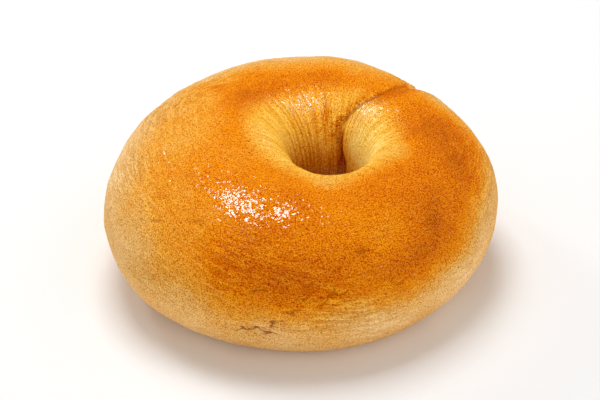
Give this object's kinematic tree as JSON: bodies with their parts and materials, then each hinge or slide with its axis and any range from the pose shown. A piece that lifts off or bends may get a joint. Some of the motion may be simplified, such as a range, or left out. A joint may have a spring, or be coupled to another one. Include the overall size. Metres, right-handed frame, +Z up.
{
  "type": "bagel",
  "caption": "Plain bagel: a glossy golden brown ring of dough with a funnel-shaped hole, a seam where the rope's ends meet and a flat base.",
  "frame": {"origin": "on the table, under the middle of the bagel's box", "axes": "+Z up from the flat base, +X to the bagel's right as it is looked at, +Y to its back, with the seam at the back right"},
  "size_m": [0.1098, 0.1162, 0.0456],
  "materials": {
    "crust": "glossy baked bread crust, golden orange, paler in the hole and along the foot"
  },
  "bodies": {
    "root": {"bagel": "crust"}
  },
  "joints": []
}
